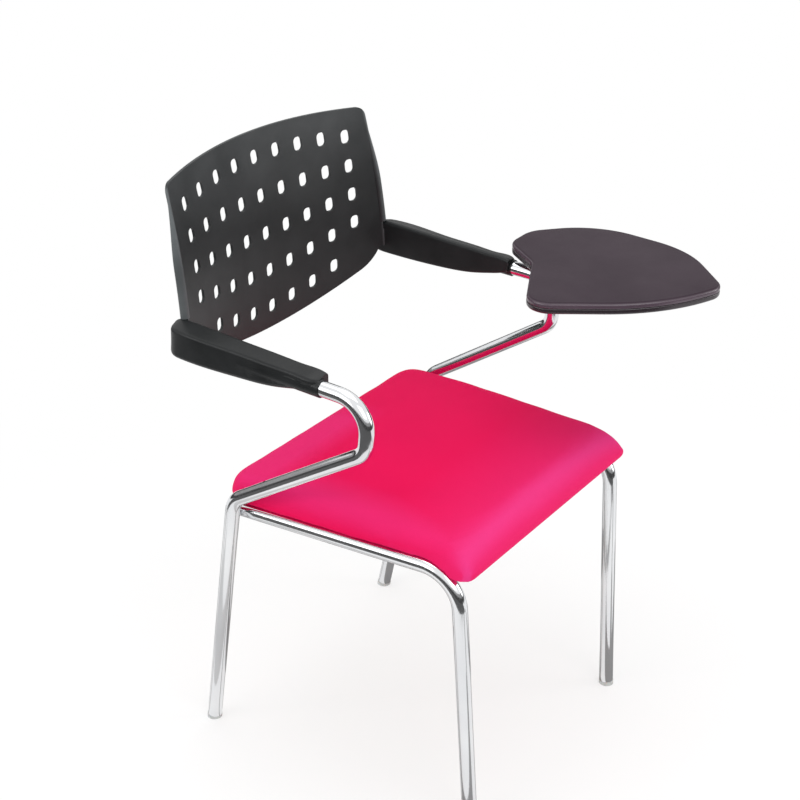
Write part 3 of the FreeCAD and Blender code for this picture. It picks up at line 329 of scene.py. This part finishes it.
plug_plastic = Finish("black_plug_plastic", IOR=1.48)
plug_plastic.to(tinted(plug_plastic, clouds(plug_plastic, 200, 4),
                       (0.3, (0.02, 0.02, 0.022)), (0.75, (0.04, 0.04, 0.043))), "Base Color")
roughen(plug_plastic, clouds(plug_plastic, 300), 0.35, 0.5)
press(plug_plastic, clouds(plug_plastic, 900), depth=0.0001, strength=0.4)
wear(plug_plastic, "rail_end_plug_left", "rail_end_plug_right")

# %% [markdown]
# The bracket under the tablet is powder coated. The powder melts into a skin like orange peel: coarse
# soft bumps under a thin clear layer. Screws and nuts are zinc plated, which is a metal like the
# chrome, but dull and spotted, because nobody polishes it.

# %% bracket and fasteners
bracket_coat = Finish("black_powder_coat", Coat_Weight=0.2, Coat_Roughness=0.3)
bracket_coat.to(tinted(bracket_coat, clouds(bracket_coat, 120, 4),
                       (0.3, (0.02, 0.02, 0.022)), (0.75, (0.038, 0.038, 0.041))), "Base Color")
roughen(bracket_coat, clouds(bracket_coat, 90, 3), 0.38, 0.55)
press(bracket_coat, clouds(bracket_coat, 650, 1), depth=0.0002, strength=0.5)
wear(bracket_coat, "tablet_plate", "hinge_sleeve")

zinc = Finish("zinc_plate", Metallic=1.0)
zinc.to(tinted(zinc, clouds(zinc, 240, 4),
               (0.3, (0.46, 0.46, 0.47)), (0.75, (0.66, 0.66, 0.68))), "Base Color")
roughen(zinc, clouds(zinc, 500, 3), 0.22, 0.42)
press(zinc, clouds(zinc, 1600), depth=0.00008, strength=0.4)
wear(zinc, "seat_screws", "seat_tee_nuts", "back_screws", "arm_screws", "stop_pin", "spindle_washer",
     "spindle_screw", "tablet_screws")

# %% [markdown]
# The board inside the seat is plywood. Its grain could be waves bent by noise. Here one cloud is
# squeezed along two axes, so that it turns into long fibres, and drives colour, roughness and relief.

# %% seat board
plywood = Finish("birch_plywood", IOR=1.45)
fibres = clouds(plywood, 40, 6, stretch=(1, 14, 60))
plywood.to(tinted(plywood, fibres, (0.25, (0.36, 0.24, 0.13)), (0.75, (0.6, 0.44, 0.27))), "Base Color")
roughen(plywood, fibres, 0.5, 0.7)
press(plywood, fibres, depth=0.0003, strength=0.4)
wear(plywood, "seat_pan")

# %% [markdown]
# The seat is foam with a tight cover of bright pink cloth. Threads show close up, as ridges across
# all three axes, so that the weave runs on over the rolled edge without a map of the surface. Over the
# front roll the cloth is painted paler and more violet than on the flat top, a painted sheen where the
# roll turns towards the light. The side without the tablet and its rear corner get the same painted
# sheen. The change follows a value, "roll", stored with the mesh.

# %% seat cloth
def ridges(finish, axis, scale, bend):
    """Even waves across one axis, from 0 to 1, with lines that bend a little."""
    pattern = finish.node("TexWave", Scale=scale, Distortion=bend)
    pattern.bands_direction = axis
    finish.link(finish.place, pattern.inputs["Vector"])
    return pattern.outputs["Fac"]


def stored_value(finish, name):
    """A value that is stored with the mesh."""
    stored = finish.node("Attribute")
    stored.attribute_name = name
    return stored.outputs["Fac"]


WEAVE_SCALE = 330
WEAVE_BEND = 0.6
seat_cloth = Finish("pink_seat_cloth", Sheen_Weight=0.05, Sheen_Roughness=0.4, Roughness=0.7,
                    Sheen_Tint=(1.0, 0.3, 0.8, 1.0), Specular_IOR_Level=0.05)
fuzz = clouds(seat_cloth, 2600)
for axis in "XYZ":
    fuzz = reckon(seat_cloth, "ADD", fuzz, ridges(seat_cloth, axis, WEAVE_SCALE, WEAVE_BEND))
press(seat_cloth, fuzz, depth=0.00022, strength=0.35)
# painted sheen: where the stored value is high the cloth is painted paler and more violet
cloth_with_painted_sheen = tinted(seat_cloth, stored_value(seat_cloth, "roll"), (0.0, (0.78, 0.004, 0.084)),
                (0.5, (0.79, 0.02, 0.15)), (1.0, (0.8, 0.042, 0.225)))
mottled = vary(seat_cloth, cloth_with_painted_sheen, clouds(seat_cloth, 9, 3), 0.94, 1.04)
seat_cloth.to(vary(seat_cloth, mottled, clouds(seat_cloth, 1800), 0.9, 1.1), "Base Color")
print("seat cloth:", len(seat_cloth.tree.nodes), "nodes")

# %% [markdown]
# A cushion can be modelled by hand, but foam under cloth has a swell that is quicker to grow: the
# drawn solid is copied, remeshed into even squares, and a cloth simulation blows it up a little
# from inside. How far a point may move is capped, so the cushion keeps the size of its solid and
# stays clear of the tubes under it.

# %% the cushion's starting mesh
VOXEL = 0.005


def solid_copy(name, node):
    """A new object with a copy of a solid's mesh and no material."""
    mesh = nodes[node].data.copy()
    mesh.materials.clear()
    piece = bpy.data.objects.new(name, mesh)
    bpy.context.scene.collection.objects.link(piece)
    return piece


def settle(piece):
    """Replace a piece's mesh by what its modifiers make of it."""
    graph = bpy.context.evaluated_depsgraph_get()
    mesh = bpy.data.meshes.new_from_object(piece.evaluated_get(graph))
    piece.modifiers.clear()
    piece.data = mesh


def points_of(mesh):
    """All vertices of a mesh as one array, one row each."""
    places = np.empty(len(mesh.vertices) * 3)
    mesh.vertices.foreach_get("co", places)
    return places.reshape(-1, 3)


cushion = solid_copy("seat_cushion_padded", "seat_cushion")
cushion.modifiers.new("weld", "WELD").merge_threshold = WELD_DISTANCE
remesh = cushion.modifiers.new("remesh", "REMESH")
remesh.mode = "VOXEL"
remesh.voxel_size = VOXEL
settle(cushion)
start = points_of(cushion.data)
print("cushion:", len(start), "points")

# %% [markdown]
# The cover is a closed bag with air in it. Cloth with pressure inside and no gravity bulges where it
# is wide and holds back at its corners, which is what foam does under a tight cover.

# %% swell it with cloth
PRESSURE = 4.0
SWELL = 0.004
SWELL_FRAMES = 20
TINY = 1e-9


def blown_up(piece, frames):
    """The points of a piece after a short cloth run with pressure inside and no gravity."""
    cloth = piece.modifiers.new("cloth", "CLOTH")
    cloth.settings.use_pressure = True
    cloth.settings.uniform_pressure_force = PRESSURE
    cloth.settings.effector_weights.gravity = 0.0
    cloth.settings.quality = 4
    cloth.point_cache.frame_start = 1
    cloth.point_cache.frame_end = frames
    scene = bpy.context.scene
    for number in range(1, frames + 1):
        scene.frame_set(number)
    graph = bpy.context.evaluated_depsgraph_get()
    blown = piece.evaluated_get(graph).to_mesh()
    places = points_of(blown)
    piece.evaluated_get(graph).to_mesh_clear()
    piece.modifiers.clear()
    scene.frame_set(1)
    return places


moved = np.zeros_like(start)
moved = blown_up(cushion, SWELL_FRAMES) - start
length = np.linalg.norm(moved, axis=1, keepdims=True)
moved *= np.minimum(1.0, SWELL / np.maximum(length, TINY))
print(f"cloth moved points by up to {length.max() * 1000:.1f} mm, kept to {SWELL * 1000:.0f} mm")

# %% [markdown]
# The underside stays where the board and tubes hold it, so the swell grows from nothing at the rolled
# edge to all of it near the top. Then the steps that the squares left are smoothed away, and each
# face is divided once.

# %% put the swell on the cushion
SWELL_STARTS = 0.45
SWELL_GROWS = 0.3
SOFT_ABOVE = 0.3
SMOOTH_PASSES = 24
low, high = (np.array(corner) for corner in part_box("seat_cushion"))
height = np.clip((start[:, 2] - low[2]) / (high[2] - low[2]), 0, 1)
fade = np.clip((height - SWELL_STARTS) / SWELL_GROWS, 0, 1)
cushion.data.vertices.foreach_set("co", (start + fade[:, None] * moved).ravel())
cushion.data.update()
soft_part = cushion.vertex_groups.new(name="soft_part")
soft_part.add(np.flatnonzero(height > SOFT_ABOVE).tolist(), 1.0, "REPLACE")
smooth = cushion.modifiers.new("smooth", "SMOOTH")
smooth.factor = 0.5
smooth.iterations = SMOOTH_PASSES
smooth.vertex_group = soft_part.name
round_off = cushion.modifiers.new("round_off", "SUBSURF")
round_off.levels = 1
round_off.render_levels = 1
settle(cushion)
cushion.data.shade_smooth()
print("cushion:", len(cushion.data.polygons), "faces")

# %% [markdown]
# The cloth's colour needs to know how much painted sheen lies at each point. That could be painted by
# hand; here it follows from where a point lies and which way it faces. Over the front roll it grows
# with t (1 - t), where t is how far a point has turned to the front: nothing on the flat top or the
# front wall, most halfway round. On the side without the tablet and near its rear corner it falls off
# with the distance from the edge, and it lies only on faces turned upwards.

# %% how much painted sheen lies on the cover
FRONT_SHEEN_REACH = 0.16
FRONT_SHARE = 0.35
ROLL_SHARE = 0.65
SIDE_SHEEN_REACH = 0.085
SIDE_SHARE = 0.8
CORNER_WIDTH = (0.24, 0.3)
CORNER_DEPTH = (0.06, 0.1)
CORNER_SHARE = 0.52


def normals_of(mesh):
    """The directions in which a mesh's points face, one row each."""
    facing = np.empty(len(mesh.vertices) * 3)
    mesh.vertex_normals.foreach_get("vector", facing)
    return facing.reshape(-1, 3)


def nearness(distance, full, reach):
    """1 up to the full distance, then evenly down to 0 at the reach."""
    return np.clip((reach - distance) / (reach - full), 0, 1)


from_side, from_front, _ = (points_of(cushion.data) - low).T
from_rear = high[1] - low[1] - from_front
facing = normals_of(cushion.data)
turned = np.clip(-facing[:, 1], 0, 1)
# painted sheen over the front roll, strongest halfway round
over_roll = (4 * turned * (1 - turned)) ** 1.5
near_front = nearness(from_front, 0, FRONT_SHEEN_REACH)
front_sheen = FRONT_SHARE * near_front + ROLL_SHARE * over_roll * near_front ** 0.5
# painted sheen on the side without the tablet and at its rear corner, on faces turned upwards
side_sheen = SIDE_SHARE * nearness(from_side, 0, SIDE_SHEEN_REACH)
corner_sheen = CORNER_SHARE * nearness(from_side, *CORNER_WIDTH) * nearness(from_rear, *CORNER_DEPTH)
side_and_corner_sheen = np.maximum(side_sheen, corner_sheen) * np.clip(facing[:, 2], 0, 1)
roll = np.maximum(front_sheen, side_and_corner_sheen)
print(f"opened share of the cover: {np.mean(roll > 0.3):.2f}")

# %% [markdown]
# The value goes into the mesh as an attribute, one number for each point. Then the new cushion takes
# the place of its drawn solid, which is hidden: it rides on the chair, wears the seat cloth, and its
# name says that it is padded.

# %% hand over the cushion
stored = cushion.data.attributes.new("roll", "FLOAT", "POINT")
stored.data.foreach_set("value", roll.astype(np.float32))
cushion.data.materials.append(seat_cloth.material)
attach(cushion, "chair")
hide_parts("seat_cushion")
print("cushion:", cushion.name, "in place of seat_cushion")

# %% [markdown]
# The studio has a white floor and soft light. A floor could be bent up behind the chair into a sweep,
# but here the background is white by itself, so a flat floor is enough.

# %% studio floor
FLOOR_REACH = 8
FLOOR_TONE = 0.92


def studio_mesh(name, corners, faces, tone):
    """A studio surface of one plain tone."""
    mesh = bpy.data.meshes.new(name)
    mesh.from_pydata(np.asarray(corners).tolist(), [], faces)
    made = bpy.data.objects.new(name, mesh)
    bpy.context.scene.collection.objects.link(made)
    paint = bpy.data.materials.new(name)
    paint.use_nodes = True
    set_sockets(paint.node_tree.nodes["Principled BSDF"],
                {"Base Color": (tone, tone, tone, 1), "Roughness": 0.9, "Specular IOR Level": 0.0})
    mesh.materials.append(paint)
    return made


floor_corners = [(-FLOOR_REACH, -FLOOR_REACH, 0), (FLOOR_REACH, -FLOOR_REACH, 0),
                 (FLOOR_REACH, FLOOR_REACH, 0), (-FLOOR_REACH, FLOOR_REACH, 0)]
floor = studio_mesh("studio_floor", floor_corners, [(0, 1, 2, 3)], FLOOR_TONE)
print("floor:", 2 * FLOOR_REACH, "m wide")

# %% [markdown]
# Chrome needs something dark to reflect, or it turns into white paint. Two bands stand around the set,
# a dark one from the floor to about the arms and a grey one above it, as the dim half of a room does.
# A wide dark card on the floor, on the camera's side, draws the long lines along the rails and the
# dark patches in the bends. Only reflections show them: the camera and the light on the chair don't.

# %% bands and the wide card
BAND_SIDES = 48
BAND_RADIUS = 3.2
BANDS = {"dark_band": (0.0, 0.62, 0.06), "grey_band": (0.62, 1.1, 0.3)}
CAMERA_SIDE = math.radians(212.8)
CARD_LEVEL = 0.002
FRONT_CARD = (1.0, 3.2)
FRONT_SPAN = (-90, 55)
FRONT_SIDES = 29
FRONT_TONE = 0.1


def reflections_only(made):
    """Show a surface in mirrors alone."""
    made.visible_camera = False
    made.visible_diffuse = False
    made.visible_shadow = False
    made.visible_transmission = False


def arc(angles, radius, level):
    """Points at a radius from the chair's middle axis, all at one level, one row each."""
    return np.stack([radius * np.cos(angles), radius * np.sin(angles), np.full(len(angles), level)], axis=1)


def ribbon(name, first, second, tone, closed):
    """A strip of four-sided faces between two rows of points; a closed one joins its ends."""
    count = len(first)
    starts = np.arange(count if closed else count - 1)
    ends = (starts + 1) % count
    faces = np.stack([starts, ends, ends + count, starts + count], axis=1)
    reflections_only(studio_mesh(name, np.vstack([first, second]), faces.tolist(), tone))


turn = np.linspace(0, 2 * np.pi, BAND_SIDES, endpoint=False)
for name, (foot, top, tone) in BANDS.items():
    ribbon(name, arc(turn, BAND_RADIUS, foot), arc(turn, BAND_RADIUS, top), tone, closed=True)
sweep = CAMERA_SIDE + np.radians(np.linspace(*FRONT_SPAN, FRONT_SIDES + 1))
inner, outer = (arc(sweep, radius, CARD_LEVEL) for radius in FRONT_CARD)
ribbon("front_card", inner, outer, FRONT_TONE, closed=False)
print("reflections:", ", ".join(BANDS), "and the front card")

# %% [markdown]
# An upright leg mirrors the floor around its own foot. A narrow card that starts at the foot and runs
# outwards shows as an even line all the way up, where the angle between card and camera sets how near
# the line is to the leg's edge. Each foot gets the same few cards.

# %% narrow cards at the feet
CARD_REACH = 0.9


def floor_cards(name, spans, tone):
    """Narrow triangles on the floor that start at each foot, between angles from the camera's side."""
    corners = []
    for foot in FEET:
        centre = sum((np.array(corner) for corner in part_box(foot)), np.zeros(3)) / 2
        for span in spans:
            angles = CAMERA_SIDE + np.radians(span)
            ends = centre[:2] + CARD_REACH * np.stack([np.cos(angles), np.sin(angles)], axis=1)
            corners += [(*centre[:2], CARD_LEVEL), (*ends[0], CARD_LEVEL), (*ends[1], CARD_LEVEL)]
    faces = np.arange(len(corners)).reshape(-1, 3).tolist()
    reflections_only(studio_mesh(name, corners, faces, tone))
    print(f"{name}: {len(faces)}")


floor_cards("dark_cards", [(52, 60), (128, 146), (-148, -132)], 0.32)
floor_cards("grey_cards", [(-110, -90)], 0.6)

# %% [markdown]
# The background is white because the camera and mirrors see white there, not because more light
# falls on the chair. A brighter world would do it as well, but it would wash out every shadow.

# %% white background
AMBIENT = 0.8


def seen_directly(tree):
    """1 for rays from the camera, from metal and from glass; 0 for light that falls on things."""
    path = tree.nodes.new("ShaderNodeLightPath")
    value = path.outputs["Is Camera Ray"]
    for kind in ("Is Glossy Ray", "Is Transmission Ray"):
        either = tree.nodes.new("ShaderNodeMath")
        either.operation = "MAXIMUM"
        tree.links.new(value, either.inputs[0])
        tree.links.new(path.outputs[kind], either.inputs[1])
        value = either.outputs["Value"]
    return value


def show_white(tree, kind, share, lit, output):
    """Mix a white glow of strength 1 over a lit shader, by a share."""
    white = set_sockets(tree.nodes.new(kind), {"Color": (1, 1, 1, 1), "Strength": 1.0})
    mix = tree.nodes.new("ShaderNodeMixShader")
    tree.links.new(share, mix.inputs["Fac"])
    tree.links.new(lit, mix.inputs[1])
    tree.links.new(white.outputs[0], mix.inputs[2])
    tree.links.new(mix.outputs["Shader"], output)


world = bpy.data.worlds.new("studio")
bpy.context.scene.world = world
world.use_nodes = True
sky = world.node_tree
ambient = set_sockets(sky.nodes["Background"], {"Color": (1, 1, 1, 1), "Strength": AMBIENT})
show_white(sky, "ShaderNodeBackground", seen_directly(sky), ambient.outputs["Background"],
           sky.nodes["World Output"].inputs["Surface"])
print("background white, ambient light", AMBIENT)

# %% [markdown]
# The floor is whitened in the same way, so that its far end melts into the background. Near the chair
# it is whitened less, and keeps the shadow that sets the feet on the ground.

# %% white floor
WHITENING = {"From Min": 0.35, "From Max": 1.3, "To Min": 0.55}
ground = floor.data.materials[0].node_tree
distance = ground.nodes.new("ShaderNodeVectorMath")
distance.operation = "LENGTH"
ground.links.new(ground.nodes.new("ShaderNodeTexCoord").outputs["Object"], distance.inputs[0])
whitening = set_sockets(ground.nodes.new("ShaderNodeMapRange"), WHITENING)
whitening.interpolation_type = "SMOOTHSTEP"
ground.links.new(distance.outputs["Value"], whitening.inputs["Value"])
share = ground.nodes.new("ShaderNodeMath")
share.operation = "MULTIPLY"
ground.links.new(whitening.outputs["Result"], share.inputs[0])
ground.links.new(seen_directly(ground), share.inputs[1])
show_white(ground, "ShaderNodeEmission", share.outputs["Value"],
           ground.nodes["Principled BSDF"].outputs["BSDF"],
           ground.nodes["Material Output"].inputs["Surface"])
print("floor white from", WHITENING["From Max"], "m out")

# %% [markdown]
# Large square lamps give soft light without hard edges. The key and the top lamp do most of it, the
# side lamp lifts the front of the seat, the fill reaches the near arm, and a small strip grazes the
# bead on the back.

# %% lamps
MIDDLE = (0, 0, 0.5)
LAMPS = {
    "key_lamp": ((-1.5, -3.2, 3.0), MIDDLE, 2.4, 26),
    "top_lamp": ((0.2, 0.2, 3.2), MIDDLE, 2.4, 26),
    "side_lamp": ((1.7, -2.2, 1.1), (0.1, 0, 0.5), 1.2, 13),
    "fill_lamp": ((-3.0, 0.9, 1.9), MIDDLE, 1.8, 14),
    "strip_lamp": ((-2.3, 1.9, 1.3), (-0.2, 0.3, 0.7), 0.5, 7),
}


def aimed(place, direction):
    """A transform that stands at a place and looks along a direction, with its top upwards."""
    return Matrix.Translation(place) @ direction.to_track_quat("-Z", "Y").to_matrix().to_4x4()


def softbox(name, place, aim, size, power):
    """A square lamp at a place, turned towards a point, with its width in metres and power in watts."""
    lamp = bpy.data.lights.new(name, "AREA")
    lamp.size = size
    lamp.energy = power
    made = bpy.data.objects.new(name, lamp)
    made.matrix_world = aimed(place, Vector(aim) - Vector(place))
    bpy.context.scene.collection.objects.link(made)


for name, lamp in LAMPS.items():
    softbox(name, *lamp)
print("lamps:", ", ".join(LAMPS))

# %% [markdown]
# The camera stands to the right of the sitter and in front, well above the seat. Its place, turn and
# lens were found from the chair's own corners in the picture, taken as 800 by 800 pixels; the small
# shift is the picture's crop.

# %% camera
PICTURE = 800
FOCAL_PIXELS = 1600.0
AXIS_PIXEL = (374.27, 393.03)
CAMERA_PLACE = Vector((-1.80148, -1.15823, 1.60100))
YAW = 0.948
PITCH = 0.467
lens = bpy.data.cameras.new("photo_camera")
lens.sensor_width = 36.0
lens.lens = FOCAL_PIXELS / PICTURE * lens.sensor_width
lens.shift_x = (PICTURE / 2 - AXIS_PIXEL[0]) / PICTURE
lens.shift_y = (AXIS_PIXEL[1] - PICTURE / 2) / PICTURE
camera = bpy.data.objects.new("photo_camera", lens)
ahead = Vector((math.sin(YAW) * math.cos(PITCH), math.cos(YAW) * math.cos(PITCH), -math.sin(PITCH)))
camera.matrix_world = aimed(CAMERA_PLACE, ahead)
bpy.context.scene.collection.objects.link(camera)
bpy.context.scene.camera = camera
bpy.context.scene.view_settings.view_transform = "Standard"
print(f"lens {lens.lens:.1f} mm, shift {lens.shift_x:.4f} {lens.shift_y:.4f}")
